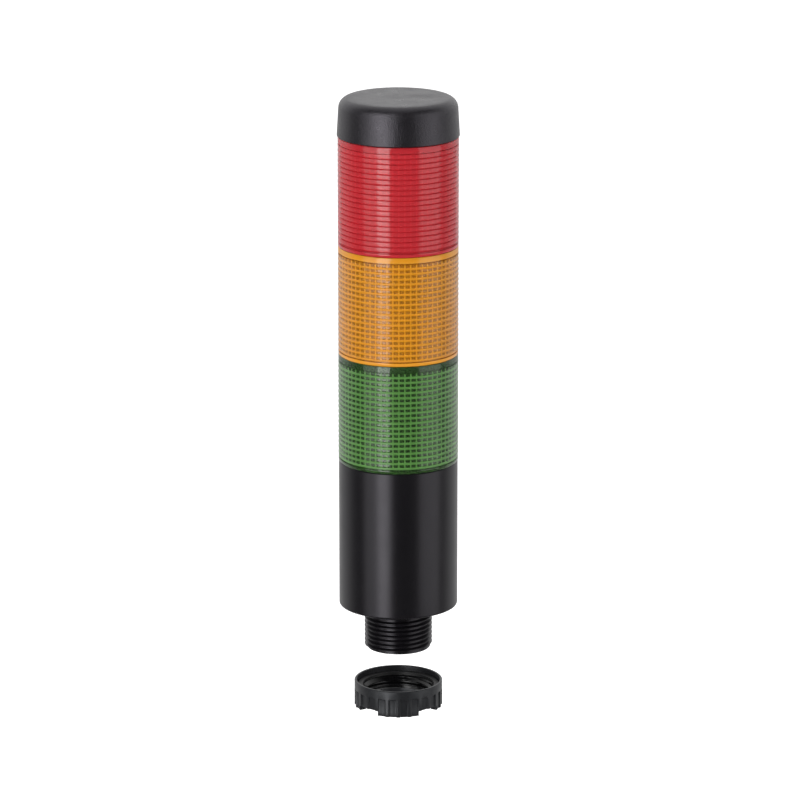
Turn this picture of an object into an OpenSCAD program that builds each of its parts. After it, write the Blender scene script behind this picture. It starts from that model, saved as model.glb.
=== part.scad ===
// Machine signal tower: three transparent light tiers on a black base with a 22 mm threaded stub.
// Every tier and the cap lock to the piece below with a three-lug bayonet; a loose nut clamps the
// panel from below. Z = 0 is the base's underside, where the panel lies. Front is -Y. Millimetres.

/* [Body] */
// Outside diameter of the base housing
body_d = 38.0; // [34:0.5:46]
// How far the lenses stand proud of the base, on the radius
lens_proud = 0.1; // [0:0.05:0.3]
// How far the cap's lower edge stands proud of the base, on the radius
cap_proud = 0.375; // [0:0.025:0.6]
// Height of the base housing above the panel
base_h = 48.0; // [40:1:60]
// Pitch of the light tiers, from joint to joint
tier_h = 35.1; // [30:0.1:45]
// Height of the cap above the top joint
cap_h = 12.4; // [11:0.2:18]
// Wall of the base housing
wall = 1.8; // [1.6:0.1:2.2]
// Thickness of the floor of the base housing
floor_t = 3.0; // [2.5:0.1:5]
// Radius of the cap's upper edge
cap_round = 3.4; // [2:0.1:4.5]
// How much the cap's side leans in over its height, on the radius
cap_taper = 0.5; // [0:0.1:1]
// Radius of the shallow dish in the cap's top
dish_r = 5.8; // [3:0.1:7]
// Depth of that dish
dish_depth = 0.25; // [0.1:0.05:0.4]
// Distance of the dish from the axis, to the right
dish_x = 7.2; // [0:0.1:8]

/* [Thread and nut] */
// Major diameter of the moulded 22 mm thread
thread_d = 21.8; // [18:0.1:24]
// Pitch of the thread
pitch = 1.5; // [1:0.25:2]
// Depth of the thread
thread_depth = 0.85; // [0.5:0.05:1]
// Length of the threaded stub below the panel face
stub_l = 14.5; // [12:0.5:20]
// Wall of the stub, from its crests to its bore
stub_wall = 2.9; // [2:0.1:4]
// Wall of the nut, from the stub's crests to its own outside
nut_wall = 3.3; // [2.9:0.05:4]
// Height of the nut
nut_h = 8.65; // [8:0.1:10]
// Depth of the counterbore in the nut's top
nut_sink = 2.7; // [1.7:0.1:3.2]
// Radial width of the nut's top rim
nut_rim = 0.75; // [0.6:0.05:1]
// Number of flutes around the nut
nut_flutes = 24; // [18:1:30]
// Depth of the flutes
flute_depth = 0.45; // [0.3:0.05:0.6]
// Height of the plain band above the flutes
nut_band = 2.85; // [2.2:0.1:3.5]
// Depth of the notches in the nut's underside
notch_depth = 1.6; // [1:0.1:2]
// Angle taken by each of the four notches
notch_angle = 34; // [26:1:44]
// Distance from the end of the stub to the loose nut at rest
nut_drop = 11.4; // [5:0.1:16]

/* [Bayonet] */
// Length of the spigot below each joint
spigot_l = 5.0; // [4.5:0.1:6]
// Wall of the spigot
spigot_t = 1.5; // [1.2:0.1:2]
// Wall of the socket collar around the spigot
collar_t = 1.6; // [1.4:0.1:1.8]
// How far each lug stands out of the spigot
lug_out = 1.0; // [0.7:0.1:1.2]
// Height of each lug
lug_h = 1.4; // [1:0.1:1.8]
// Angle taken by each lug
lug_angle = 12; // [8:1:16]
// Angle between locked and released
twist = 20; // [12:1:30]
// Angle of the first lug, from +X
lug_start = -80; // [-90:5:30]

/* [Inside] */
// Width across the flats of the light column
column_af = 14.0; // [12:0.5:16]
// Wall of the smoked tube around each light column
tube_t = 1.2; // [1:0.1:2]
// Gap between the smoked tube and the collar around it
tube_gap = 0.7; // [0.4:0.1:1.2]
// Thickness of the round boards
board_t = 1.2; // [1:0.1:1.6]
// Gap between the contact discs and the spigot around them
disc_gap = 3.4; // [1:0.1:4]
// Distance between neighbouring terminals
terminal_step = 3.0; // [2.8:0.1:3.2]
// Width of the panel gasket
gasket_w = 2.2; // [1.5:0.1:3]
// Diameter of the cable for which the grommet is bored
cable_d = 6.0; // [4:0.5:8]

/* [Clearances] */
// Radial gap between pieces that turn on each other
turn_gap = 0.3; // [0.25:0.05:0.35]
// Gap between end faces that turn on each other
face_gap = 0.1; // [0.05:0.05:0.15]

/* [Hidden] */
$fn = 96;
eps = 0.05;
lug_count = 3;
lens_r = body_d / 2 + lens_proud;
cap_r = body_d / 2 + cap_proud;
bore_r = body_d / 2 - wall;
stub_bore_r = thread_d / 2 - stub_wall;
nut_r = thread_d / 2 + nut_wall;
gasket_r = thread_d / 2 + 2;
gasket_t = 1.1;
collar_r = bore_r - collar_t;
spigot_r = collar_r - turn_gap;
spigot_in_r = spigot_r - spigot_t;
flange_t = 1.5;
seal_t = 1.0;
seal_r = bore_r - turn_gap;
collar_top = seal_t + face_gap;
collar_bottom = spigot_l + 0.6;
lug_z = spigot_l - 0.6;
z_base = base_h;
z_amber = base_h + tier_h;
z_red = base_h + 2 * tier_h;
z_cap = base_h + 3 * tier_h;
contact_t = 0.3;
contact_top = spigot_l - 0.9;
disc_t = 1.2;
led_rows = 2;
led_w = 3.0;
led_out = 0.9;
screw_r = spigot_in_r - 0.9;
disc_r = spigot_in_r - disc_gap;
ring_first = 4;
ring_step = (disc_r - ring_first - 2) / 2;
terminals = 5;
screw_drop = 1.4;
base_board_t = 1.6;
base_board_top = z_base - spigot_l - screw_drop;
ledge_t = 4.0;
nut_top = -stub_l - nut_drop;
nut_thread_r = thread_d / 2 + turn_gap;
sink_r = nut_r - nut_rim;
ring_t = 0.9;
tones = [[0.13, 0.42, 0.22, 0.6], [0.85, 0.45, 0.07, 0.6], [0.72, 0.05, 0.09, 0.6]];
black = [0.07, 0.07, 0.08];
brass = [0.78, 0.62, 0.3];

// A plain ring between two heights
module ring(ro, ri, z0, z1) {
    translate([0, 0, z0])
        difference() {
            cylinder(r = ro, h = z1 - z0);
            translate([0, 0, -1]) cylinder(r = ri, h = z1 - z0 + 2);
        }
}

// A sector of a ring, from one angle to another
module sector(ro, ri, z0, z1, from, to) {
    translate([0, 0, z0])
        rotate([0, 0, from])
            rotate_extrude(angle = to - from)
                translate([ri, 0]) square([ro - ri, z1 - z0]);
}

// The lugs' shape, or the L-shaped slots that they run in
module lugs(z) {
    for (i = [0 : lug_count - 1])
        sector(spigot_r + lug_out, spigot_r - 0.4, z - lug_z, z - lug_z + lug_h,
               lug_start + i * 360 / lug_count - lug_angle / 2,
               lug_start + i * 360 / lug_count + lug_angle / 2);
}

module lug_slots(z) {
    slack = 1.5;
    for (i = [0 : lug_count - 1]) {
        mid = lug_start + i * 360 / lug_count;
        sector(spigot_r + lug_out + turn_gap + 0.1, collar_r - 1,
               z - lug_z - 0.4, z - lug_z + lug_h + 0.4,
               mid - lug_angle / 2 - slack, mid + lug_angle / 2 + twist + slack);
        sector(spigot_r + lug_out + turn_gap, collar_r - 1.2,
               z - lug_z, z - collar_top + 1,
               mid + twist - lug_angle / 2 - slack, mid + lug_angle / 2 + twist + 1);
    }
}

// The lower half of a joint: a collar inside the top of a piece
module socket(z) {
    difference() {
        ring(bore_r + 0.3, collar_r, z - collar_bottom, z - collar_top);
        lug_slots(z);
    }
}

// The upper half of a joint: flange, spigot and lugs under a piece
module spigot(z) {
    ring(bore_r + 0.3, spigot_in_r, z + face_gap, z + flange_t);
    ring(spigot_r, spigot_in_r, z - spigot_l, z + flange_t - 0.5);
    lugs(z);
}

module seal(z) {
    color([0.1, 0.1, 0.1])
        ring(seal_r, spigot_r, z - seal_t, z + face_gap);
}

// One lens tier: a clear shell with two fine grooves, a spigot below and a socket above
module lens(z, tone) {
    groove = 0.3;
    color(tone) {
        difference() {
            ring(lens_r, bore_r, z + face_gap, z + tier_h);
            ring(lens_r + 1, lens_r - groove, z + flange_t, z + flange_t + 0.35);
            ring(lens_r + 1, lens_r - groove, z + tier_h - 2.2, z + tier_h - 1.85);
        }
        spigot(z);
        socket(z + tier_h);
    }
}

module tier_board(z) {
    color([0.05, 0.09, 0.06])
        translate([0, 0, z + flange_t]) cylinder(r = bore_r - 0.6, h = board_t);
}

module tier_column(z) {
    bottom = z + flange_t + board_t;
    top = z + tier_h - contact_top - contact_t - disc_t;
    color(black)
        translate([0, 0, bottom])
            cylinder(d = column_af / cos(30), h = top - bottom, $fn = 6);
}

// The smoked tube hides the column and its chips while they are dark
module tier_tube(z) {
    color([0.04, 0.04, 0.045])
        ring(collar_r - tube_gap, collar_r - tube_gap - tube_t, z + flange_t + board_t,
             z + tier_h - spigot_l - 2 * face_gap);
}

module tier_leds(z) {
    bottom = z + flange_t + board_t;
    span = tier_h - flange_t - board_t - contact_top - disc_t;
    color([0.95, 0.93, 0.8])
        for (row = [1 : led_rows], side = [0 : 5])
            rotate([0, 0, side * 60 + 30])
                translate([column_af / 2, -led_w / 2, bottom + span * row / (led_rows + 1)
                           - led_w / 2])
                    cube([led_out, led_w, led_w]);
}

module tier_plungers(z) {
    color(brass)
        for (i = [0 : 2])
            rotate([0, 0, i * 120])
                translate([ring_first + i * ring_step, 0, z - contact_top + face_gap])
                    cylinder(r = 0.7, h = contact_top - face_gap + flange_t, $fn = 24);
}

module contact_disc(z, thickness) {
    color([0.08, 0.2, 0.12])
        translate([0, 0, z - contact_top - contact_t - thickness])
            cylinder(r = disc_r, h = thickness);
}

module contact_rings(z) {
    color(brass)
        for (i = [0 : 2])
            ring(ring_first + i * ring_step + 0.7, ring_first + i * ring_step - 0.7,
                 z - contact_top - contact_t, z - contact_top);
}

// The cap's outline: a leaning side, a rounded edge and a flat top
module cap_side(grow, top) {
    r = cap_r + grow;
    rt = r - cap_taper;
    round_r = cap_round + grow;
    polygon(concat([[0, 0], [r, 0]],
                   [for (a = [0 : 10 : 90]) [rt - round_r + round_r * cos(a),
                                             top - round_r + round_r * sin(a)]],
                   [[0, top]]));
}

module cap() {
    color(black) {
        difference() {
            translate([0, 0, z_cap + face_gap])
                rotate_extrude() cap_side(0, cap_h - face_gap);
            translate([0, 0, z_cap - 1])
                cylinder(r = cap_r - 2.3, h = 1 + flange_t + eps);
            translate([0, 0, z_cap + flange_t])
                rotate_extrude() cap_side(-2, cap_h - flange_t - 2);
            translate([dish_x, -1, z_cap + cap_h - dish_depth])
                cylinder(r1 = dish_r - dish_depth, r2 = dish_r + 1 - dish_depth, h = 1);
        }
        spigot(z_cap);
    }
}

// The thread drawn as turned rings of the true pitch, depth and flank angle
module thread_side(r, depth, z_top, count, inside) {
    crest = 0.25;
    flank = (pitch - 2 * crest) / 2;
    far = inside ? r + depth : r - depth;
    back = inside ? r + 3 : 1;
    polygon(concat([[back, z_top]],
                   [for (i = [0 : count - 1], k = [0 : 3])
                       [k == 0 || k == 3 ? far : r,
                        z_top - i * pitch - (k == 0 ? crest / 2 : k == 1 ? crest / 2 + flank
                                             : k == 2 ? crest * 1.5 + flank
                                             : crest * 1.5 + 2 * flank)]],
                   [[back, z_top - count * pitch]]));
}

// The stub: a plain shank under the base, the thread, and a small lead-in at the end
module stub() {
    rings = floor((stub_l - 1.2) / pitch);
    z_top = -(stub_l - rings * pitch - 0.6);
    root_r = thread_d / 2 - thread_depth;
    difference() {
        union() {
            rotate_extrude() thread_side(thread_d / 2, thread_depth, z_top, rings, false);
            translate([0, 0, z_top]) cylinder(r = thread_d / 2, h = floor_t / 2 - z_top);
            translate([0, 0, -stub_l + 0.4]) cylinder(r = root_r, h = stub_l);
            translate([0, 0, -stub_l]) cylinder(r1 = root_r - 0.4, r2 = root_r, h = 0.4);
        }
        translate([0, 0, -stub_l - 1]) cylinder(r = stub_bore_r, h = stub_l + 1 + floor_t);
    }
}

module base_housing() {
    edge = 0.6;
    z_ledge = base_board_top - base_board_t;
    color(black) {
        difference() {
            rotate_extrude()
                polygon([[stub_bore_r, 0], [body_d / 2 - edge, 0],
                         [body_d / 2 - edge * 0.3, edge * 0.3], [body_d / 2, edge],
                         [body_d / 2, z_base - 0.25], [body_d / 2 - 0.25, z_base],
                         [bore_r, z_base], [bore_r, floor_t], [stub_bore_r, floor_t]]);
            ring(gasket_r + gasket_w, gasket_r, -1, gasket_t);
        }
        stub();
        socket(z_base);
        difference() {
            ring(bore_r + 0.3, screw_r - 2.2, z_ledge - ledge_t, z_ledge);
            for (i = [0 : 2])
                rotate([0, 0, i * 120 + 30])
                    translate([screw_r, 0, z_ledge - ledge_t - 1])
                        cylinder(r = 0.9, h = ledge_t + 2, $fn = 24);
        }
    }
}

module panel_gasket() {
    color([0.12, 0.12, 0.12]) ring(gasket_r + gasket_w, gasket_r, 0, gasket_t);
}

// A rubber bush in the end of the stub, bored for the cable
module cable_grommet() {
    lip = 0.8;
    color([0.1, 0.1, 0.1])
        difference() {
            union() {
                translate([0, 0, -stub_l + 1]) cylinder(r = stub_bore_r, h = 6);
                translate([0, 0, -stub_l + 1 - lip]) cylinder(r = stub_bore_r - 1.5, h = lip + 1);
            }
            translate([0, 0, -stub_l - 1]) cylinder(d = cable_d, h = 10);
        }
}

module base_board() {
    color([0.05, 0.2, 0.1])
        difference() {
            translate([0, 0, base_board_top - base_board_t])
                cylinder(r = bore_r - 1, h = base_board_t);
            for (i = [0 : 2])
                rotate([0, 0, i * 120 + 30])
                    translate([screw_r, 0, base_board_top - base_board_t - 1])
                        cylinder(r = 1.15, h = base_board_t + 2, $fn = 24);
        }
}

module board_screws() {
    color([0.7, 0.7, 0.72])
        for (i = [0 : 2])
            rotate([0, 0, i * 120 + 30])
                translate([screw_r, 0, base_board_top]) {
                    difference() {
                        cylinder(r = 1.7, h = 1);
                        translate([0, 0, 0.5]) cube([2.4, 0.5, 1.2], center = true);
                    }
                    translate([0, 0, -4]) cylinder(r = 0.85, h = 4.2, $fn = 24);
                }
}

module base_disc() {
    contact_disc(z_base, spigot_l + screw_drop - contact_top - contact_t);
}

module base_rings() { contact_rings(z_base); }

// Two capacitors, a coil and a chip under the base board
module driver_parts() {
    under = base_board_top - base_board_t;
    color([0.2, 0.2, 0.25]) {
        translate([-4.5, 5, under - 11]) cylinder(d = 6.3, h = 11, $fn = 48);
        translate([4.5, 5, under - 11]) cylinder(d = 6.3, h = 11, $fn = 48);
        translate([-2.5, -0.6, under - 2]) cube([5, 2.2, 2]);
    }
}

// Screw terminals hanging from the base board, with wire holes in front of the screws
module terminal_block() {
    under = base_board_top - base_board_t;
    color([0.1, 0.35, 0.2])
        translate([-terminals * terminal_step / 2, -7, under - 9])
            difference() {
                cube([terminals * terminal_step, 6, 9]);
                for (i = [0 : terminals - 1])
                    translate([(i + 0.5) * terminal_step, 1.6, -1])
                        cylinder(d = 2, h = 7, $fn = 24);
                for (i = [0 : terminals - 1])
                    translate([(i + 0.5) * terminal_step, 4.4, -1])
                        cylinder(d = 2.2, h = 5, $fn = 24);
            }
}

module terminal_screws() {
    under = base_board_top - base_board_t;
    color([0.75, 0.75, 0.76])
        for (i = [0 : terminals - 1])
            translate([(i + 0.5 - terminals / 2) * terminal_step, -2.6, under - 8.2])
                difference() {
                    cylinder(d = 2, h = 3.2, $fn = 24);
                    cube([3, 0.5, 1], center = true);
                }
}

// A loose slip ring in the nut's counterbore
module slip_ring() {
    z0 = nut_top - nut_sink + face_gap;
    color([0.15, 0.15, 0.16])
        ring(sink_r - turn_gap - 0.05, thread_d / 2 + 0.6, z0, z0 + ring_t);
}

module mounting_nut() {
    bottom = nut_top - nut_h;
    bore_h = nut_h - nut_sink;
    rings = floor((bore_h - 1) / pitch);
    z_thread = bottom + bore_h - 0.5;
    back_r = nut_thread_r + 1.0;
    color(black)
        difference() {
            rotate_extrude()
                polygon([[nut_thread_r, bottom], [nut_r - 0.3, bottom],
                         [nut_r, bottom + 0.3], [nut_r, nut_top - 0.15],
                         [nut_r - 0.15, nut_top], [sink_r + 0.1, nut_top],
                         [sink_r, nut_top - 0.1], [sink_r, nut_top - nut_sink],
                         [back_r - 0.2, nut_top - nut_sink],
                         [nut_thread_r, nut_top - nut_sink - 0.5]]);
            for (i = [0 : rings - 1])
                translate([0, 0, z_thread - (i + 1) * pitch])
                    rotate_extrude()
                        polygon([[nut_thread_r - 0.2, 0.15], [nut_thread_r, 0.15],
                                 [nut_thread_r + 0.55, 0.5], [nut_thread_r + 0.55, 0.75],
                                 [nut_thread_r, 1.1], [nut_thread_r - 0.2, 1.1]]);
            for (i = [0 : nut_flutes - 1])
                sector(nut_r + 1, nut_r - flute_depth, bottom - 1,
                       nut_top - nut_band, (i + 0.5) * 360 / nut_flutes - 4.65,
                       (i + 0.5) * 360 / nut_flutes + 4.65);
            for (i = [0 : 3])
                sector(nut_r + 2, nut_thread_r - 2, bottom - 1, bottom + notch_depth,
                       i * 90 + 45 - notch_angle / 2, i * 90 + 45 + notch_angle / 2);
        }
}

module cap_seal() { seal(z_cap); }
module lens_red() { lens(z_red, tones[2]); }
module board_red() { tier_board(z_red); }
module column_red() { tier_column(z_red); }
module tube_red() { tier_tube(z_red); }
module leds_red() { tier_leds(z_red); }
module plungers_red() { tier_plungers(z_red); }
module disc_red() { contact_disc(z_cap, disc_t); }
module rings_red() { contact_rings(z_cap); }
module seal_red() { seal(z_red); }
module lens_amber() { lens(z_amber, tones[1]); }
module board_amber() { tier_board(z_amber); }
module column_amber() { tier_column(z_amber); }
module tube_amber() { tier_tube(z_amber); }
module leds_amber() { tier_leds(z_amber); }
module plungers_amber() { tier_plungers(z_amber); }
module disc_amber() { contact_disc(z_red, disc_t); }
module rings_amber() { contact_rings(z_red); }
module seal_amber() { seal(z_amber); }
module lens_green() { lens(z_base, tones[0]); }
module board_green() { tier_board(z_base); }
module column_green() { tier_column(z_base); }
module tube_green() { tier_tube(z_base); }
module leds_green() { tier_leds(z_base); }
module plungers_green() { tier_plungers(z_base); }
module disc_green() { contact_disc(z_amber, disc_t); }
module rings_green() { contact_rings(z_amber); }
module seal_green() { seal(z_base); }

cap();
cap_seal();
lens_red();
board_red();
column_red();
tube_red();
leds_red();
plungers_red();
disc_red();
rings_red();
seal_red();
lens_amber();
board_amber();
column_amber();
tube_amber();
leds_amber();
plungers_amber();
disc_amber();
rings_amber();
seal_amber();
lens_green();
board_green();
column_green();
tube_green();
leds_green();
plungers_green();
disc_green();
rings_green();
seal_green();
base_housing();
panel_gasket();
cable_grommet();
base_board();
base_disc();
base_rings();
driver_parts();
terminal_block();
terminal_screws();
board_screws();
slip_ring();
mounting_nut();
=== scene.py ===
"""Looks of the machine signal tower: three ribbed lens tiers on a black base, with a loose nut."""

import logging
import math
from dataclasses import dataclass, field
from enum import Enum
from typing import Callable, Sequence

import bmesh
import bpy
from mathutils import Euler, Matrix, Vector


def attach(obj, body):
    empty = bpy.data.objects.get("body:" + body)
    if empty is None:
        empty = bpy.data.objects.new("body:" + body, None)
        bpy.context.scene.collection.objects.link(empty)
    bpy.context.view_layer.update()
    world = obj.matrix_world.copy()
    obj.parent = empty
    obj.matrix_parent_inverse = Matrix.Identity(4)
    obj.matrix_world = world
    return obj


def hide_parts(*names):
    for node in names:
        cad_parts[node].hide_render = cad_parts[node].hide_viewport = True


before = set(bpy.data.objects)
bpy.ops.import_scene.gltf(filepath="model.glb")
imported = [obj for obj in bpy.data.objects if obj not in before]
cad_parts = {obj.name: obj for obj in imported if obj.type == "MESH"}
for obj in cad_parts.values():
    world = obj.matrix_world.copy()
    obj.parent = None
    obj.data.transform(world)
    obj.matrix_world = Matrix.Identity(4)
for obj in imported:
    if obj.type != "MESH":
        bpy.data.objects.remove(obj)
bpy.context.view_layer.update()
LOG = logging.getLogger("signal_tower")

MM = 0.001
TURN = 2 * math.pi

Point = tuple[float, float]
Colour = tuple[float, float, float]


# ---------------------------------------------------------------- finishes


def new_material(name: str) -> tuple[bpy.types.Material, bpy.types.Node]:
    """Starts a node material with one Principled shader.

    Args:
        name: The finish's name.

    Returns:
        The material and its Principled node.
    """
    material = bpy.data.materials.new(name)
    material.use_nodes = True
    shader = next(n for n in material.node_tree.nodes if n.type == "BSDF_PRINCIPLED")
    return material, shader


def add_node(material: bpy.types.Material, kind: str, **settings: object) -> bpy.types.Node:
    """Adds a node and sets its properties.

    Args:
        material: The material that gets the node.
        kind: The node's type name.
        **settings: Properties of the node.

    Returns:
        The new node.
    """
    node = material.node_tree.nodes.new(kind)
    for key, value in settings.items():
        setattr(node, key, value)
    return node


def object_noise(
    material: bpy.types.Material, scale: float, detail: float = 2.0
) -> bpy.types.Node:
    """Adds a noise texture on Object coordinates.

    Args:
        material: The material that gets the texture.
        scale: Cells per metre.
        detail: Octaves of the noise.

    Returns:
        The noise node.
    """
    links = material.node_tree.links
    place = add_node(material, "ShaderNodeTexCoord")
    noise = add_node(material, "ShaderNodeTexNoise")
    noise.inputs["Scale"].default_value = scale
    noise.inputs["Detail"].default_value = detail
    links.new(place.outputs["Object"], noise.inputs["Vector"])
    return noise


def add_grain(
    material: bpy.types.Material, shader: bpy.types.Node, scale: float, depth: float
) -> None:
    """Raises a fine moulded grain on a finish.

    Args:
        material: The material.
        shader: Its Principled node.
        scale: Grains per metre.
        depth: Height of the grain in metres.
    """
    links = material.node_tree.links
    noise = object_noise(material, scale, 3.0)
    bump = add_node(material, "ShaderNodeBump")
    bump.inputs["Strength"].default_value = 1.0
    bump.inputs["Distance"].default_value = depth
    links.new(noise.outputs["Fac"], bump.inputs["Height"])
    links.new(bump.outputs["Normal"], shader.inputs["Normal"])


def add_wear(
    material: bpy.types.Material,
    shader: bpy.types.Node,
    scale: float,
    low: float,
    high: float,
) -> None:
    """Varies the roughness a little over the surface.

    Args:
        material: The material.
        shader: Its Principled node.
        scale: Patches per metre.
        low: Roughness of the glossiest patches.
        high: Roughness of the dullest patches.
    """
    links = material.node_tree.links
    noise = object_noise(material, scale)
    spread = add_node(material, "ShaderNodeMapRange")
    spread.inputs["From Min"].default_value = 0.3
    spread.inputs["From Max"].default_value = 0.7
    spread.inputs["To Min"].default_value = low
    spread.inputs["To Max"].default_value = high
    links.new(noise.outputs["Fac"], spread.inputs["Value"])
    links.new(spread.outputs["Result"], shader.inputs["Roughness"])


@dataclass(frozen=True)
class Moulding:
    """An opaque moulded plastic or rubber.

    spread is how far the roughness wanders, grain the height of a moulded grain in metres,
    and sheen the tint of its reflections.
    """

    name: str
    colour: Colour
    roughness: float
    spread: float = 0.04
    grain: float = 0.0
    grain_scale: float = 3000.0
    specular: float = 0.5
    sheen: Colour = (1.0, 1.0, 1.0)

    def build(self) -> bpy.types.Material:
        """Makes the material."""
        material, shader = new_material(self.name)
        shader.inputs["Base Color"].default_value = (*self.colour, 1.0)
        shader.inputs["Specular IOR Level"].default_value = self.specular
        shader.inputs["Specular Tint"].default_value = (*self.sheen, 1.0)
        add_wear(material, shader, 160.0, self.roughness - self.spread, self.roughness + self.spread)
        if self.grain:
            add_grain(material, shader, self.grain_scale, self.grain)
        return material


@dataclass(frozen=True)
class ClearMoulding:
    """A tinted transparent plastic, clear or milky."""

    name: str
    colour: Colour
    clearness: float
    roughness: float = 0.09
    ior: float = 1.49
    coat: float = 0.2
    coat_roughness: float = 0.35
    cloud_scale: float = 60.0
    cloud_shade: float = 0.97

    def build(self) -> bpy.types.Material:
        """Makes the material."""
        material, shader = new_material(self.name)
        shader.inputs["Transmission Weight"].default_value = self.clearness
        shader.inputs["IOR"].default_value = self.ior
        shader.inputs["Coat Weight"].default_value = self.coat
        shader.inputs["Coat Roughness"].default_value = self.coat_roughness
        shader.inputs["Roughness"].default_value = self.roughness
        links = material.node_tree.links
        noise = object_noise(material, self.cloud_scale)
        ramp = add_node(material, "ShaderNodeValToRGB")
        for stop, shade in zip(ramp.color_ramp.elements, (self.cloud_shade, 1.0), strict=True):
            stop.color = (*(min(1.0, c * shade) for c in self.colour), 1.0)
        links.new(noise.outputs["Fac"], ramp.inputs["Fac"])
        links.new(ramp.outputs["Color"], shader.inputs["Base Color"])
        return material


@dataclass(frozen=True)
class Metal:
    """A plated or brushed metal."""

    name: str
    colour: Colour
    roughness: float

    def build(self) -> bpy.types.Material:
        """Makes the material."""
        material, shader = new_material(self.name)
        shader.inputs["Base Color"].default_value = (*self.colour, 1.0)
        shader.inputs["Metallic"].default_value = 1.0
        add_wear(material, shader, 900.0, self.roughness - 0.06, self.roughness + 0.06)
        return material


class Finish(Enum):
    """The finishes of the tower's pieces."""

    CAP = Moulding(
        "cap_plastic", (0.0058, 0.0052, 0.0064), 0.31, grain=0.00011, grain_scale=2600.0,
        specular=0.7, sheen=(0.95, 0.9, 1.0))
    BASE = Moulding(
        "black_plastic", (0.0055, 0.005, 0.0062), 0.30, spread=0.02, specular=0.42,
        sheen=(0.96, 0.92, 1.0))
    NUT = Moulding("nut_plastic", (0.012, 0.0125, 0.014), 0.38, sheen=(0.94, 0.96, 1.0))
    # Painted shade: the threaded bore is the same plastic as the nut, given a darker colour and a
    # weaker reflection to stand in for the shade inside the bore.
    NUT_BORE_PAINTED_SHADE = Moulding("bore_plastic_painted_shade", (0.004, 0.004, 0.0045), 0.24, specular=0.3)
    RING = Moulding("ring_plastic", (0.006, 0.006, 0.0065), 0.5)
    RUBBER = Moulding("seal_rubber", (0.010, 0.010, 0.010), 0.6)
    COLUMN = Moulding("column_plastic", (0.015, 0.015, 0.017), 0.5)
    BOARD = Moulding("solder_mask", (0.012, 0.045, 0.022), 0.32)
    TERMINAL = Moulding("terminal_plastic", (0.02, 0.12, 0.05), 0.45)
    SLEEVE = Moulding("component_sleeve", (0.02, 0.02, 0.035), 0.35)
    LED = Moulding("led_package", (0.80, 0.76, 0.55), 0.28)
    BRASS = Metal("contact_brass", (0.80, 0.60, 0.26), 0.28)
    STEEL = Metal("screw_steel", (0.62, 0.62, 0.64), 0.34)
    TUBE = Moulding("smoked_tube", (0.012, 0.012, 0.013), 0.25)
    RED_TUBE = Moulding("red_tube", (0.55, 0.10, 0.10), 0.4)
    RED = ClearMoulding("red_lens", (0.74, 0.036, 0.05), 0.5, coat=0.08)
    RED_RIB = ClearMoulding("red_rib", (0.74, 0.036, 0.05), 0.4, 0.15, coat=0.08)
    AMBER = ClearMoulding("amber_lens", (0.97, 0.40, 0.013), 0.74)
    AMBER_RIB = ClearMoulding("amber_rib", (0.97, 0.40, 0.018), 0.38, 0.15)
    GREEN = ClearMoulding("green_lens", (0.13, 0.36, 0.075), 0.9, coat=0.4)
    GREEN_RIB = ClearMoulding("green_rib", (0.14, 0.38, 0.08), 0.4, 0.15, coat=0.4)


_BUILT: dict[Finish, bpy.types.Material] = {}


def material_of(finish: Finish) -> bpy.types.Material:
    """Gives a finish's material, made once.

    Args:
        finish: The finish wanted.

    Returns:
        Its material.
    """
    if finish not in _BUILT:
        _BUILT[finish] = finish.value.build()
    return _BUILT[finish]


# ---------------------------------------------------------------- shaping


def chain(bm: bmesh.types.BMesh, points: Sequence[Point], closed: bool = True) -> list:
    """Draws an outline in the XZ plane for a spin.

    Args:
        bm: The mesh being made.
        points: Radius and height of each corner, in millimetres.
        closed: Whether the last corner joins the first.

    Returns:
        The outline's vertices and edges.
    """
    verts = [bm.verts.new((r * MM, 0.0, z * MM)) for r, z in points]
    count = len(verts) if closed else len(verts) - 1
    edges = [bm.edges.new((verts[i], verts[(i + 1) % len(verts)])) for i in range(count)]
    return [*verts, *edges]


def add_to(bm: bmesh.types.BMesh, part: bmesh.types.BMesh) -> None:
    """Adds a part that was made on its own, and frees it.

    Args:
        bm: The mesh being made.
        part: The part to add.
    """
    scratch = bpy.data.meshes.new("scratch")
    part.to_mesh(scratch)
    part.free()
    bm.from_mesh(scratch)
    bpy.data.meshes.remove(scratch)


def turned(bm: bmesh.types.BMesh, points: Sequence[Point], steps: int = 128) -> None:
    """Turns a closed outline into a full ring.

    Args:
        bm: The mesh being made.
        points: Radius and height of each corner, in millimetres.
        steps: Facets around the axis.
    """
    part = bmesh.new()
    bmesh.ops.spin(
        part, geom=chain(part, points), cent=(0, 0, 0), axis=(0, 0, 1), dvec=(0, 0, 0),
        angle=TURN, steps=steps, use_merge=True, use_normal_flip=False, use_duplicate=False,
    )
    add_to(bm, part)


def swept_arc(
    bm: bmesh.types.BMesh, points: Sequence[Point], start: float, end: float, steps: int = 12
) -> None:
    """Turns a closed outline through part of a circle, with both ends closed.

    Args:
        bm: The mesh being made.
        points: Radius and height of each corner, in millimetres.
        start: Angle where the arc begins, in degrees from +X.
        end: Angle where it ends.
        steps: Facets along the arc.
    """
    part = bmesh.new()
    profile = chain(part, points)
    face = part.faces.new([v for v in profile if isinstance(v, bmesh.types.BMVert)])
    turn = Matrix.Rotation(math.radians(start), 4, "Z")
    bmesh.ops.transform(part, matrix=turn, verts=face.verts)
    bmesh.ops.spin(
        part, geom=[face, *face.verts, *face.edges], cent=(0, 0, 0), axis=(0, 0, 1),
        dvec=(0, 0, 0), angle=math.radians(end - start), steps=steps, use_merge=False,
        use_normal_flip=False, use_duplicate=False,
    )
    add_to(bm, part)


def box_outline(r_in: float, r_out: float, z0: float, z1: float) -> list[Point]:
    """Gives a plain rectangular outline between two radii and two heights."""
    return [(r_in, z0), (r_out, z0), (r_out, z1), (r_in, z1)]


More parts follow.
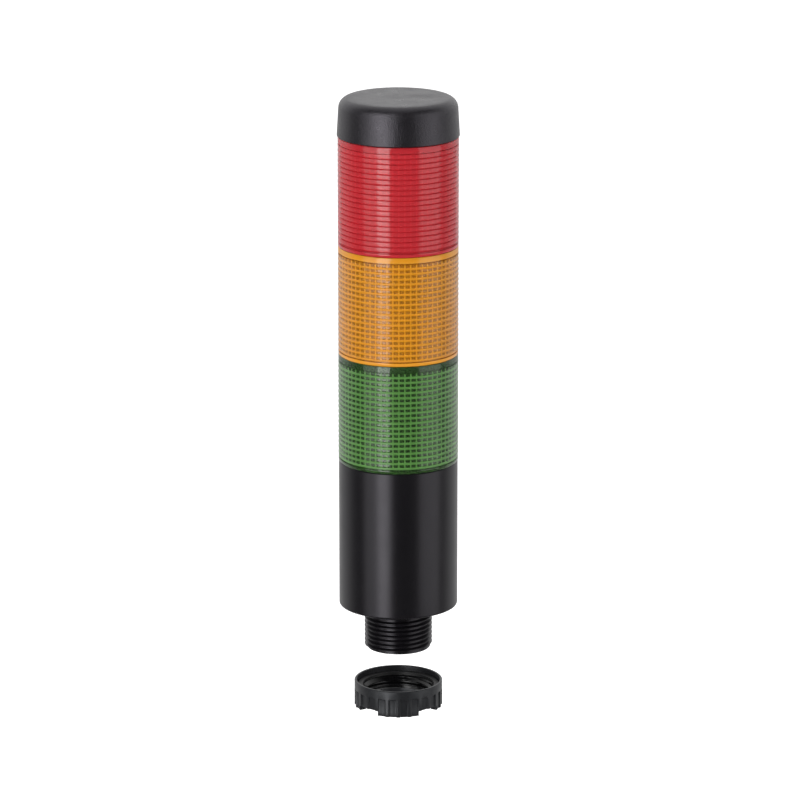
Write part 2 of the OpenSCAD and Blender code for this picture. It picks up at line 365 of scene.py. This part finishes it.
def arc_points(
    centre: Point, radius: float, start: float, end: float, count: int
) -> list[Point]:
    """Gives points along an arc.

    Args:
        centre: Radius and height of the arc's centre, in millimetres.
        radius: The arc's radius.
        start: First angle in degrees.
        end: Last angle in degrees.
        count: Number of steps.

    Returns:
        The points, both ends included.
    """
    out = []
    for i in range(count + 1):
        a = math.radians(start + (end - start) * i / count)
        out.append((centre[0] + radius * math.cos(a), centre[1] + radius * math.sin(a)))
    return out


def finish_piece(
    bm: bmesh.types.BMesh,
    name: str,
    finish: Finish,
    body: str,
    replaces: Sequence[str] = (),
    sharp: float = 32.0,
) -> bpy.types.Object:
    """Turns a finished mesh into a piece of the tower.

    Args:
        bm: The mesh, which is freed.
        name: The piece's name.
        finish: Its finish.
        body: The body that it rides on.
        replaces: CAD nodes that it stands for.
        sharp: Edges that bend more than this many degrees stay crisp.

    Returns:
        The piece.
    """
    bmesh.ops.remove_doubles(bm, verts=bm.verts, dist=0.000002)
    bmesh.ops.recalc_face_normals(bm, faces=bm.faces)
    limit = math.radians(sharp)
    for face in bm.faces:
        face.smooth = True
    for edge in bm.edges:
        edge.smooth = not (edge.is_manifold and edge.calc_face_angle(0.0) > limit)
    mesh = bpy.data.meshes.new(name)
    bm.to_mesh(mesh)
    bm.free()
    piece = bpy.data.objects.new(name, mesh)
    bpy.context.scene.collection.objects.link(piece)
    mesh.materials.append(material_of(finish))
    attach(piece, body)
    if replaces:
        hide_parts(*replaces)
    LOG.info("%s: %d faces on %s", name, len(mesh.polygons), body)
    return piece


@dataclass(frozen=True)
class Thread:
    """A right-handed helical thread."""

    pitch: float = 1.5
    crest: float = 0.22
    root: float = 0.30
    phase: float = 0.0
    steps: int = 72

    def profile(self, r_crest: float, r_root: float) -> list[Point]:
        """Gives one pitch of the thread's side.

        Args:
            r_crest: Radius of the crests, in millimetres.
            r_root: Radius of the roots.

        Returns:
            The outline from one root to the next, going down.
        """
        flank = (self.pitch - self.crest - self.root) / 2
        z = [0, -self.root, -self.root - flank, -self.root - flank - self.crest, -self.pitch]
        r = [r_root, r_root, r_crest, r_crest, r_root]
        return list(zip(r, z, strict=True))

    def wall(
        self,
        bm: bmesh.types.BMesh,
        r_crest: float,
        r_root: float,
        z_top: float,
        z_bottom: float,
        trim: Callable[[float, float], float],
    ) -> tuple[list, list]:
        """Winds the thread between two heights.

        Args:
            bm: The mesh being made.
            r_crest: Radius of the crests, in millimetres.
            r_root: Radius of the roots.
            z_top: Upper height.
            z_bottom: Lower height.
            trim: Gives the radius allowed for a radius and a height.

        Returns:
            The edges of the top rim and of the bottom rim.
        """
        turns = int((z_top - z_bottom) / self.pitch) + 3
        start = (math.floor(z_top / self.pitch) + 2 + self.phase) * self.pitch
        points = [(r, z + start) for r, z in self.profile(r_crest, r_root)]
        bmesh.ops.spin(
            bm, geom=chain(bm, points, closed=False), cent=(0, 0, 0), axis=(0, 0, 1),
            dvec=(0, 0, -self.pitch * MM / self.steps), angle=-TURN * turns,
            steps=self.steps * turns, use_merge=False, use_normal_flip=False,
            use_duplicate=False,
        )
        bmesh.ops.remove_doubles(bm, verts=bm.verts, dist=0.000004)
        rims = []
        for height, up in ((z_top, 1), (z_bottom, -1)):
            bmesh.ops.bisect_plane(
                bm, geom=[*bm.verts, *bm.edges, *bm.faces], dist=0.0000005,
                plane_co=(0, 0, height * MM), plane_no=(0, 0, up), clear_outer=True,
            )
        for vert in bm.verts:
            r = vert.co.xy.length / MM
            allowed = trim(r, vert.co.z / MM)
            if abs(allowed - r) > 1e-6:
                vert.co.xy *= allowed / r
        for height in (z_top, z_bottom):
            rims.append([
                e for e in bm.edges
                if e.is_boundary and all(abs(v.co.z - height * MM) < 0.000002 for v in e.verts)
            ])
        return rims[0], rims[1]


def stretch_rim(
    bm: bmesh.types.BMesh, rim: list, radius: float, lift: float = 0.0
) -> list:
    """Extrudes a rim to a circle.

    Args:
        bm: The mesh being made.
        rim: The rim's edges.
        radius: The circle's radius, in millimetres.
        lift: How far the circle is moved along Z.

    Returns:
        The new rim's edges.
    """
    made = bmesh.ops.extrude_edge_only(bm, edges=rim)["geom"]
    verts = {g for g in made if isinstance(g, bmesh.types.BMVert)}
    for vert in verts:
        vert.co.xy *= radius * MM / vert.co.xy.length
        vert.co.z += lift * MM
    return [g for g in made if isinstance(g, bmesh.types.BMEdge) and verts.issuperset(g.verts)]


def raise_ring(
    bm: bmesh.types.BMesh, ring: list, height: float, radius: Callable[[Vector], float]
) -> list:
    """Extrudes a ring of edges to a new height and radius.

    Args:
        bm: The mesh being made.
        ring: The ring's edges.
        height: The new height, in millimetres.
        radius: Gives the new radius for a corner's place, in millimetres.

    Returns:
        The new ring's edges.
    """
    made = bmesh.ops.extrude_edge_only(bm, edges=ring)["geom"]
    verts = {g for g in made if isinstance(g, bmesh.types.BMVert)}
    for vert in verts:
        vert.co.xy *= radius(vert.co) * MM / vert.co.xy.length
        vert.co.z = height * MM
    return [g for g in made if isinstance(g, bmesh.types.BMEdge) and verts.issuperset(g.verts)]


def first_ring(bm: bmesh.types.BMesh, radius: float, height: float, segments: int) -> list:
    """Draws a circle of edges.

    Args:
        bm: The mesh being made.
        radius: The circle's radius, in millimetres.
        height: Its height.
        segments: Edges around it.

    Returns:
        The circle's edges.
    """
    made = bmesh.ops.create_circle(
        bm, cap_ends=False, segments=segments, radius=radius * MM,
        matrix=Matrix.Translation((0, 0, height * MM)),
    )
    return list({edge for vert in made["verts"] for edge in vert.link_edges})


# ---------------------------------------------------------------- the bayonet


@dataclass(frozen=True)
class Bayonet:
    """The twist joint between two pieces of the stack."""

    bore_r: float = 17.2
    collar_r: float = 15.6
    spigot_r: float = 15.3
    spigot_in_r: float = 13.8
    spigot_l: float = 5.0
    flange_t: float = 1.5
    lug_out: float = 1.0
    lug_h: float = 1.4
    lug_angle: float = 12.0
    twist: float = 20.0
    lug_start: float = -80.0
    lug_count: int = 3
    slack: float = 1.5
    gap: float = 0.1

    def spigot(self, bm: bmesh.types.BMesh, z: float, r_out: float) -> None:
        """Makes the flange, the spigot and its lugs.

        Args:
            bm: The mesh being made.
            z: Height of the joint, in millimetres.
            r_out: Outer radius of the flange.
        """
        turned(bm, [
            (self.spigot_in_r, z - self.spigot_l + 0.2), (self.spigot_in_r + 0.2, z - self.spigot_l),
            (self.spigot_r - 0.2, z - self.spigot_l), (self.spigot_r, z - self.spigot_l + 0.2),
            (self.spigot_r, z + self.gap), (r_out, z + self.gap),
            (r_out, z + self.flange_t), (self.spigot_in_r, z + self.flange_t),
        ])
        low = z - self.spigot_l + 0.6
        for i in range(self.lug_count):
            middle = self.lug_start + i * 360 / self.lug_count
            swept_arc(
                bm, box_outline(self.spigot_r + 0.005, self.spigot_r + self.lug_out,
                                low, low + self.lug_h),
                middle - self.lug_angle / 2, middle + self.lug_angle / 2,
            )

    def socket(self, bm: bmesh.types.BMesh, z: float, r_out: float) -> None:
        """Makes the collar with its L-shaped slots, as arcs between the slots.

        Args:
            bm: The mesh being made.
            z: Height of the joint, in millimetres.
            r_out: Outer radius of the collar.
        """
        top, bottom = z - 1.1, z - self.spigot_l - 0.6
        lug_low = z - self.spigot_l + 0.6
        slot_low, slot_high = lug_low - 0.4, lug_low + self.lug_h + 0.4
        back = self.spigot_r + self.lug_out + 0.35
        turned(bm, box_outline(self.collar_r, r_out, bottom, slot_low - 0.01))
        turned(bm, box_outline(back, r_out, slot_low, top))
        for i in range(self.lug_count):
            middle = self.lug_start + i * 360 / self.lug_count
            start = middle - self.lug_angle / 2 - self.slack
            entry = start + self.twist
            end = middle + self.lug_angle / 2 + self.twist + self.slack
            following = start + 360 / self.lug_count
            inner, outer = self.collar_r, back - 0.01
            swept_arc(bm, box_outline(inner, outer, slot_high, top), start, entry)
            swept_arc(bm, box_outline(inner, outer, slot_low, top), end, following, 36)


BAYONET = Bayonet()


# ---------------------------------------------------------------- pieces


@dataclass
class Cap:
    """The domed black cap."""

    z: float = 153.3
    height: float = 12.4
    radius: float = 19.375
    taper: float = 0.5
    edge: float = 3.4
    crease: float = 78.0
    skin: float = 2.2
    lip: float = 0.35
    inner_ledge: float = 1.6
    top_rings: int = 24
    facets: int = 160
    dish_r: float = 6.3
    dish_depth: float = 0.25
    dish_x: float = 7.2
    dish_y: float = -1.0

    def outline(self) -> list[Point]:
        """Draws the cap's section, whose rounded edge meets the flat top in a faint crease.

        Returns:
            The section from the lower edge over the top and back inside.
        """
        top, low = self.z + self.height, self.z + BAYONET.gap
        flat = self.radius - self.taper - self.edge
        centre = (flat, top - self.edge)
        socket_r = BAYONET.spigot_r + 0.3
        outer = [(self.radius - self.lip, low), (self.radius, low + 0.3)]
        outer += arc_points(centre, self.edge, 4, self.crease, 20)
        outer += [(flat * (1 - k / self.top_rings), top) for k in range(1, self.top_rings + 1)]
        inner = [(0.0, top - self.skin), (flat, top - self.skin)]
        inner += arc_points(centre, self.edge - self.skin, 86, 4, 6)
        inner += [(self.radius - self.skin, self.z + self.inner_ledge),
                  (socket_r, self.z + self.inner_ledge), (socket_r, low)]
        return outer + inner

    def dish(self, bm: bmesh.types.BMesh) -> None:
        """Sinks the shallow round dish into the top.

        Args:
            bm: The mesh being made.
        """
        top = (self.z + self.height) * MM
        centre = Vector((self.dish_x, self.dish_y)) * MM
        for vert in bm.verts:
            if abs(vert.co.z - top) > 1e-7:
                continue
            reach = (vert.co.xy - centre).length / (self.dish_r * MM)
            if reach < 1:
                vert.co.z -= self.dish_depth * MM * (1 - reach ** 2) ** 2

    def build(self) -> bpy.types.Object:
        """Makes the cap."""
        bm = bmesh.new()
        turned(bm, self.outline(), self.facets)
        self.dish(bm)
        BAYONET.spigot(bm, self.z, BAYONET.spigot_r + 0.29)
        return finish_piece(bm, "cap_dome", Finish.CAP, "cap", ["cap"])


@dataclass
class LensTier:
    """One transparent tier: rings outside, upright ribs inside.

    Each ring is a groove, groove_share of the pitch high, and a low crown. A rib is milky over
    rib_width of its rib_steps facets.
    """

    colour: str
    z: float
    finish: Finish
    rib_finish: Finish
    height: float = 35.1
    crest_r: float = 19.15
    bore_r: float = 17.2
    ring_sag: float = 0.26
    ring_crown: float = 0.07
    crown_steps: int = 4
    ring_count: int = 19
    groove_share: float = 0.42
    ribs: int = 64
    rib_sag: float = 0.22
    rib_steps: int = 5
    rib_width: int = 1
    ring_steps: int = 4
    foot: float = 1.55
    head: float = 2.2
    foot_line: float = 0.35
    head_line: float = 0.45
    chamfer: float = 0.15
    milky_rims: bool = False

    def heights(self) -> tuple[float, float, float]:
        """Places the rings.

        Returns:
            The foot of the first ring, the head of the last, and their pitch.
        """
        first = self.z + self.foot
        last = self.z + self.height - self.head
        return first, last, (last - first) / self.ring_count

    def outside(self) -> list[Point]:
        """Draws the outer side, with a fine line between each rim and the rings.

        Returns:
            The side from the bottom rim to the top rim.
        """
        low, high = self.z + BAYONET.gap, self.z + self.height
        first, last, pitch = self.heights()
        plain = self.crest_r - 0.05
        points = [(plain - self.chamfer, low), (plain, low + self.chamfer),
                  (plain, first - self.foot_line),
                  (plain - 0.3, first - 0.25), (plain - 0.3, first - 0.05)]
        for k in range(self.ring_count):
            base = first + k * pitch
            for i in range(self.ring_steps):
                t = i / self.ring_steps
                dip = self.ring_crown + self.ring_sag * (1 - (2 * t - 1) ** 2)
                points.append((self.crest_r - dip, base + t * pitch * self.groove_share))
            for i in range(self.crown_steps):
                t = i / self.crown_steps
                z = base + pitch * (self.groove_share + t * (1 - self.groove_share))
                points.append((self.crest_r - self.ring_crown * (2 * t - 1) ** 2, z))
        points += [(self.crest_r - self.ring_crown, last), (plain - 0.35, last + 0.1),
                   (plain - 0.35, last + 0.35), (plain, last + self.head_line),
                   (plain, high - self.chamfer), (plain - self.chamfer, high)]
        return points

    def is_rib(self, centre: Vector) -> bool:
        """Tells whether a place on the outside lies on the milky grid.

        Args:
            centre: The place, in metres.

        Returns:
            True on a milky rim, on a groove between two rings or in front of a rib.
        """
        first, last, pitch = self.heights()
        z = centre.z / MM
        if centre.xy.length / MM < self.bore_r + 0.6:
            return False
        if not first < z < last:
            rim = z < first - self.foot_line or z > last + self.head_line
            return self.milky_rims and rim
        if ((z - first) / pitch) % 1.0 < self.groove_share:
            return True
        step = math.atan2(centre.y, centre.x) / (TURN / (self.ribs * self.rib_steps))
        return math.floor(step) % self.rib_steps < self.rib_width

    def shell(self, bm: bmesh.types.BMesh) -> None:
        """Makes the wall: a ringed outside and a ribbed inside, joined at both rims.

        Args:
            bm: The mesh being made.
        """
        around = self.ribs * self.rib_steps
        points = self.outside()
        low, high = points[0][1], points[-1][1]
        outer_low = outer = first_ring(bm, *points[0], around)
        for r, z in points[1:]:
            outer = raise_ring(bm, outer, z, lambda place, r=r: r)
        inner_low = first_ring(bm, self.bore_r, low, around)
        step = TURN / around
        for vert in {v for edge in inner_low for v in edge.verts}:
            t = round(math.atan2(vert.co.y, vert.co.x) / step) % self.rib_steps / self.rib_steps
            vert.co.xy *= 1 - self.rib_sag / self.bore_r * (1 - (2 * t - 1) ** 2)
        inner = raise_ring(bm, inner_low, high, lambda place: place.xy.length / MM)
        bmesh.ops.bridge_loops(bm, edges=[*outer_low, *inner_low])
        bmesh.ops.bridge_loops(bm, edges=[*outer, *inner])

    def build(self) -> bpy.types.Object:
        """Makes the lens with its spigot and collar."""
        bm = bmesh.new()
        self.shell(bm)
        for face in bm.faces:
            face.material_index = int(self.is_rib(face.calc_center_median()))
        reach = self.bore_r - self.rib_sag - 0.03
        BAYONET.spigot(bm, self.z, reach)
        BAYONET.socket(bm, self.z + self.height, reach)
        piece = finish_piece(
            bm, f"{self.colour}_lens_shell", self.finish, f"tier_{self.colour}",
            [f"lens_{self.colour}"], sharp=50.0,
        )
        piece.data.materials.append(material_of(self.rib_finish))
        return piece


@dataclass
class BaseHousing:
    """The tubular base with its threaded stub."""

    radius: float = 19.0
    height: float = 48.0
    bore_r: float = 17.2
    floor_t: float = 3.0
    edge: float = 0.6
    stub_l: float = 14.5
    stub_r: float = 10.9
    root_r: float = 9.98
    stub_bore_r: float = 8.0
    shank_l: float = 1.9
    gasket_in_r: float = 12.9
    gasket_out_r: float = 15.1
    gasket_sink: float = 1.1
    ledge_r: float = 10.7
    ledge_low: float = 36.0
    ledge_high: float = 40.0
    facets: int = 160
    ledge_facets: int = 96
    thread: Thread = field(default_factory=Thread)

    def tube(self, bm: bmesh.types.BMesh) -> None:
        """Makes the tube with its floor and the ledge for the board.

        Args:
            bm: The mesh being made.
        """
        outer = [(self.stub_bore_r, 0.0), (self.gasket_in_r, 0.0),
                 (self.gasket_in_r, self.gasket_sink), (self.gasket_out_r, self.gasket_sink),
                 (self.gasket_out_r, 0.0)]
        outer += arc_points((self.radius - self.edge, self.edge), self.edge, -90, 0, 6)
        outer += [(self.radius, self.height - 0.2), (self.radius - 0.2, self.height)]
        inner = [(self.bore_r, self.height), (self.bore_r, self.floor_t),
                 (self.stub_bore_r, self.floor_t)]
        turned(bm, outer + inner, self.facets)
        ledge = box_outline(self.ledge_r, self.bore_r - 0.01, self.ledge_low, self.ledge_high)
        turned(bm, ledge, self.ledge_facets)
        BAYONET.socket(bm, self.height, self.bore_r - 0.01)

    def stub(self, bm: bmesh.types.BMesh) -> None:
        """Makes the threaded stub.

        Args:
            bm: The mesh being made.
        """
        low = -self.stub_l

        def trim(r: float, z: float) -> float:
            """Chamfers the thread's end and leaves a plain shank under the base.

            Args:
                r: Radius of a point of the thread, in millimetres.
                z: Its height.

            Returns:
                The radius allowed there.
            """
            if z > -self.shank_l:
                return self.stub_r
            lead = self.stub_r - 0.75 + (z - low) * 0.9
            return min(r, max(lead, self.root_r - 0.45))

        top_rim, bottom_rim = self.thread.wall(bm, self.stub_r, self.root_r, 0.0, low, trim)
        top = stretch_rim(bm, top_rim, self.stub_bore_r)
        bottom = stretch_rim(bm, bottom_rim, self.stub_bore_r + 0.3)
        bottom = stretch_rim(bm, bottom, self.stub_bore_r, 0.3)
        bmesh.ops.bridge_loops(bm, edges=[*top, *bottom])

    def build(self) -> list[bpy.types.Object]:
        """Makes the housing and the stub."""
        bm = bmesh.new()
        self.tube(bm)
        tube = finish_piece(
            bm, "base_tube", Finish.BASE, "base", ["base_housing"])
        bm = bmesh.new()
        self.stub(bm)
        stub = finish_piece(bm, "threaded_stub", Finish.BASE, "base")
        return [tube, stub]


@dataclass
class MountingNut:
    """The castellated nut, loose below the stub."""

    top: float = -25.9
    height: float = 8.65
    radius: float = 14.2
    rim: float = 0.75
    sink: float = 2.7
    band: float = 2.85
    flutes: int = 24
    flute_depth: float = 0.42
    flat_angle: float = 9.3
    shoulder: float = 0.7
    notch_depth: float = 1.6
    notch_angle: float = 34.0
    crest_r: float = 10.25
    root_r: float = 11.05
    sleeve_r: float = 11.9
    thread: Thread = field(default_factory=lambda: Thread(phase=0.5))

    def stations(self) -> list[tuple[float, bool]]:
        """Spaces the corners around one flute.

        Returns:
            Each corner's angle in degrees and whether it lies in the flute.
        """
        pitch, half = 360 / self.flutes, self.flat_angle / 2
        side = half + self.shoulder
        edges = [-pitch / 2, -side, -half, -half / 2, 0.0, half / 2, half, side]
        return [(pitch / 2 + edge, 2 <= k <= 6) for k, edge in enumerate(edges)]

    def body(self, bm: bmesh.types.BMesh) -> None:
        """Makes the fluted ring, its counterbore and its four lugs.

        Args:
            bm: The mesh being made.
        """
        foot = self.top - self.height + self.notch_depth
        band_low = self.top - self.band
        stations = self.stations()
        around = self.flutes * len(stations)
        low = first_ring(bm, self.radius, foot, around)
        corners = {v for edge in low for v in edge.verts}
        for vert in corners:
            index = round(math.degrees(math.atan2(vert.co.y, vert.co.x)) % 360 * around / 360)
            flute, k = divmod(index % around, len(stations))
            angle = math.radians(flute * 360 / self.flutes + stations[k][0])
            deep = self.flute_depth if stations[k][1] else 0.0
            place = Vector((math.cos(angle), math.sin(angle))) * (self.radius - deep) * MM
            vert.co.xy = place
        ring = raise_ring(bm, low, band_low - 0.25, lambda place: place.xy.length / MM)
        for r, z in (
            (self.radius, band_low), (self.radius, self.top - 0.2),
            (self.radius - 0.2, self.top), (self.radius - self.rim + 0.12, self.top),
            (self.radius - self.rim, self.top - 0.12),
            (self.radius - self.rim, self.top - self.sink),
            (self.sleeve_r - 0.1, self.top - self.sink), (self.sleeve_r - 0.1, foot),
        ):
            ring = raise_ring(bm, ring, z, lambda place, r=r: r)
        underside = bmesh.ops.bridge_loops(bm, edges=[*low, *ring])["faces"]
        lugs = []
        for face in underside:
            centre = face.calc_center_median()
            angle = math.degrees(math.atan2(centre.y, centre.x)) % 90
            if abs(angle - 45) > self.notch_angle / 2:
                lugs.append(face)
        step = bmesh.ops.extrude_face_region(bm, geom=lugs)["geom"]
        verts = [g for g in step if isinstance(g, bmesh.types.BMVert)]
        bmesh.ops.delete(bm, geom=lugs, context="FACES_ONLY")
        bmesh.ops.translate(bm, verts=verts, vec=(0, 0, -self.notch_depth * MM))

    def sleeve(self, bm: bmesh.types.BMesh) -> None:
        """Makes the threaded inside.

        Args:
            bm: The mesh being made.
        """
        high = self.top - self.sink - 0.02
        low = self.top - self.height + self.notch_depth + 0.02

        def trim(r: float, z: float) -> float:
            """Opens the thread with a chamfer at both ends.

            Args:
                r: Radius of a point of the thread, in millimetres.
                z: Its height.

            Returns:
                The radius allowed there.
            """
            lead = 11.4 - max(0.0, high - z) * 1.0
            tail = 11.2 - max(0.0, z - low) * 1.0
            return max(r, lead, tail)

        top_rim, bottom_rim = self.thread.wall(bm, self.crest_r, self.root_r, high, low, trim)
        top = stretch_rim(bm, top_rim, self.sleeve_r)
        bottom = stretch_rim(bm, bottom_rim, self.sleeve_r)
        bmesh.ops.bridge_loops(bm, edges=[*top, *bottom])

    def build(self) -> list[bpy.types.Object]:
        """Makes the nut and its thread."""
        bm = bmesh.new()
        self.body(bm)
        bmesh.ops.recalc_face_normals(bm, faces=bm.faces)
        sharp = [e for e in bm.edges if e.is_manifold and e.calc_face_angle(0) > math.radians(50)]
        bmesh.ops.bevel(
            bm, geom=sharp, offset=0.00008, affect="EDGES", segments=2, profile=0.5,
            material=-1, clamp_overlap=True,
        )
        body = finish_piece(bm, "nut_body", Finish.NUT, "nut", ["mounting_nut"])
        bm = bmesh.new()
        self.sleeve(bm)
        # The thread gets the painted-shade finish, darker than the nut body, to stand in for the
        # shade inside the bore.
        sleeve = finish_piece(bm, "nut_thread", Finish.NUT_BORE_PAINTED_SHADE, "nut")
        return [body, sleeve]


# ---------------------------------------------------------------- CAD pieces that stay


class HiddenWorks:
    """Dresses the CAD pieces that are shown as they are."""

    finishes: dict[str, Finish] = {
        "board_screws": Finish.STEEL, "terminal_screws": Finish.STEEL,
        "terminal_block": Finish.TERMINAL, "driver_parts": Finish.SLEEVE,
        "slip_ring": Finish.RING, "cable_grommet": Finish.RUBBER,
        "panel_gasket": Finish.RUBBER, "cap_seal": Finish.RUBBER,
        "tube_red": Finish.RED_TUBE,
        "base_board": Finish.BOARD, "base_disc": Finish.BOARD, "base_rings": Finish.BRASS,
    }
    families: dict[str, Finish] = {
        "board": Finish.BOARD, "disc": Finish.BOARD, "column": Finish.COLUMN,
        "leds": Finish.LED, "plungers": Finish.BRASS, "rings": Finish.BRASS,
        "seal": Finish.RUBBER, "tube": Finish.TUBE,
    }

    def finish_for(self, name: str) -> Finish | None:
        """Picks the finish of a CAD node.

        Args:
            name: The node's name.

        Returns:
            Its finish, or None for a node that a piece stands for.
        """
        if name in self.finishes:
            return self.finishes[name]
        return self.families.get(name.split("_")[0])

    def build(self) -> None:
        """Gives every shown CAD node its finish."""
        for name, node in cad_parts.items():
            finish = self.finish_for(name)
            if finish is None:
                continue
            for place in node.material_slots:
                place.material = material_of(finish)
            if not node.material_slots:
                node.data.materials.append(material_of(finish))
            LOG.info("%s: %s", name, finish.name)


# ---------------------------------------------------------------- the studio


@dataclass
class Studio:
    """A pale floor, soft lights and the camera."""

    floor_z: float = -0.075
    distance: float = 1.5
    elevation: float = 15.0
    aim: Vector = field(default_factory=lambda: Vector((0.00054, 0.0, 0.0674)))
    focal: float = 211.8
    sensor: float = 36.0
    target: Vector = field(default_factory=lambda: Vector((0, 0, 0.07)))

    def floor(self) -> None:
        """Makes the pale floor."""
        bm = bmesh.new()
        bmesh.ops.create_circle(
            bm, cap_ends=True, segments=96, radius=14.0,
            matrix=Matrix.Translation((0, 0, self.floor_z)))
        mesh = bpy.data.meshes.new("studio_floor")
        bm.to_mesh(mesh)
        bm.free()
        material, shader = new_material("pale_floor")
        shader.inputs["Base Color"].default_value = (0.93, 0.93, 0.93, 1.0)
        shader.inputs["Roughness"].default_value = 0.9
        shader.inputs["Specular IOR Level"].default_value = 0.0
        shader.inputs["Emission Color"].default_value = (1.0, 1.0, 1.0, 1.0)
        shader.inputs["Emission Strength"].default_value = 0.8
        mesh.materials.append(material)
        piece = bpy.data.objects.new("studio_floor", mesh)
        bpy.context.scene.collection.objects.link(piece)
        piece.visible_glossy = False
        piece.visible_transmission = False

    def world(self) -> None:
        """Makes the surroundings: white to the camera, brighter behind and above to the tower."""
        world = bpy.data.worlds.new("studio")
        bpy.context.scene.world = world
        world.use_nodes = True
        tree = world.node_tree
        tree.nodes.clear()
        nodes, links = tree.nodes, tree.links
        out = nodes.new("ShaderNodeOutputWorld")
        seen = nodes.new("ShaderNodeBackground")
        seen.inputs["Color"].default_value = (1, 1, 1, 1)
        seen.inputs["Strength"].default_value = 1.05
        glow = nodes.new("ShaderNodeBackground")
        place = nodes.new("ShaderNodeTexCoord")
        split = nodes.new("ShaderNodeSeparateXYZ")
        both = nodes.new("ShaderNodeMath")
        both.operation = "MULTIPLY"
        links.new(place.outputs["Generated"], split.inputs["Vector"])
        behind, above = (-0.15, 0.55, 0.06, 1.0), (-0.1, 0.1, 0.8, 1.18)
        for index, (axis, kind, limits) in enumerate(
            (("Y", "SMOOTHSTEP", behind), ("Z", "LINEAR", above))
        ):
            fade = nodes.new("ShaderNodeMapRange")
            fade.interpolation_type = kind
            for name, value in zip(("From Min", "From Max", "To Min", "To Max"), limits, strict=True):
                fade.inputs[name].default_value = value
            links.new(split.outputs[axis], fade.inputs["Value"])
            links.new(fade.outputs["Result"], both.inputs[index])
        links.new(both.outputs["Value"], glow.inputs["Strength"])
        rays = nodes.new("ShaderNodeLightPath")
        mix = nodes.new("ShaderNodeMixShader")
        links.new(rays.outputs["Is Camera Ray"], mix.inputs["Fac"])
        links.new(glow.outputs["Background"], mix.inputs[1])
        links.new(seen.outputs["Background"], mix.inputs[2])
        links.new(mix.outputs["Shader"], out.inputs["Surface"])

    def softbox(
        self, name: str, azimuth: float, elevation: float, distance: float,
        width: float, height: float, power: float,
    ) -> None:
        """Hangs one softbox that faces the tower.

        Args:
            name: Its name.
            azimuth: Degrees right of the front.
            elevation: Degrees above the floor.
            distance: Metres from the tower.
            width: Its width in metres.
            height: Its height in metres.
            power: Its power in watts.
        """
        light = bpy.data.lights.new(name, "AREA")
        light.shape = "RECTANGLE"
        light.size, light.size_y = width, height
        light.energy = power
        lamp = bpy.data.objects.new(name, light)
        bpy.context.scene.collection.objects.link(lamp)
        a, e = math.radians(azimuth), math.radians(elevation)
        back = Vector((math.sin(a) * math.cos(e), -math.cos(a) * math.cos(e), math.sin(e)))
        lamp.location = self.target + back * distance
        lamp.rotation_euler = (-back).to_track_quat("-Z", "Y").to_euler()

    def camera(self) -> None:
        """Sets the camera."""
        data = bpy.data.cameras.new("camera")
        data.lens, data.sensor_width = self.focal, self.sensor
        data.clip_start, data.clip_end = 0.05, 60.0
        camera = bpy.data.objects.new("camera", data)
        bpy.context.scene.collection.objects.link(camera)
        e = math.radians(self.elevation)
        camera.location = self.aim + self.distance * Vector((0, -math.cos(e), math.sin(e)))
        camera.rotation_euler = Euler((math.radians(90) - e, 0, 0))
        bpy.context.scene.camera = camera

    def build(self) -> None:
        """Makes the whole studio."""
        self.floor()
        self.world()
        self.softbox("left_softbox", -28, 4, 1.6, 0.66, 2.4, 20)
        self.softbox("left_fill", -52, 4, 1.6, 1.0, 2.4, 9)
        self.softbox("right_softbox", 64, 4, 1.8, 1.6, 2.4, 15)
        self.softbox("top_softbox", 0, 84, 1.5, 1.2, 1.2, 2.5)
        self.camera()
        bpy.context.scene.view_settings.view_transform = "Standard"


def main() -> None:
    """Builds the tower and its studio."""
    logging.basicConfig(level=logging.INFO, format="%(name)s %(message)s")
    Cap().build()
    LensTier("red", 118.2, Finish.RED, Finish.RED_RIB, groove_share=0.3, ring_sag=0.36).build()
    LensTier("amber", 83.1, Finish.AMBER, Finish.AMBER_RIB, milky_rims=True).build()
    LensTier("green", 48.0, Finish.GREEN, Finish.GREEN_RIB).build()
    BaseHousing().build()
    MountingNut().build()
    HiddenWorks().build()
    Studio().build()


if __name__ == "__main__":
    main()
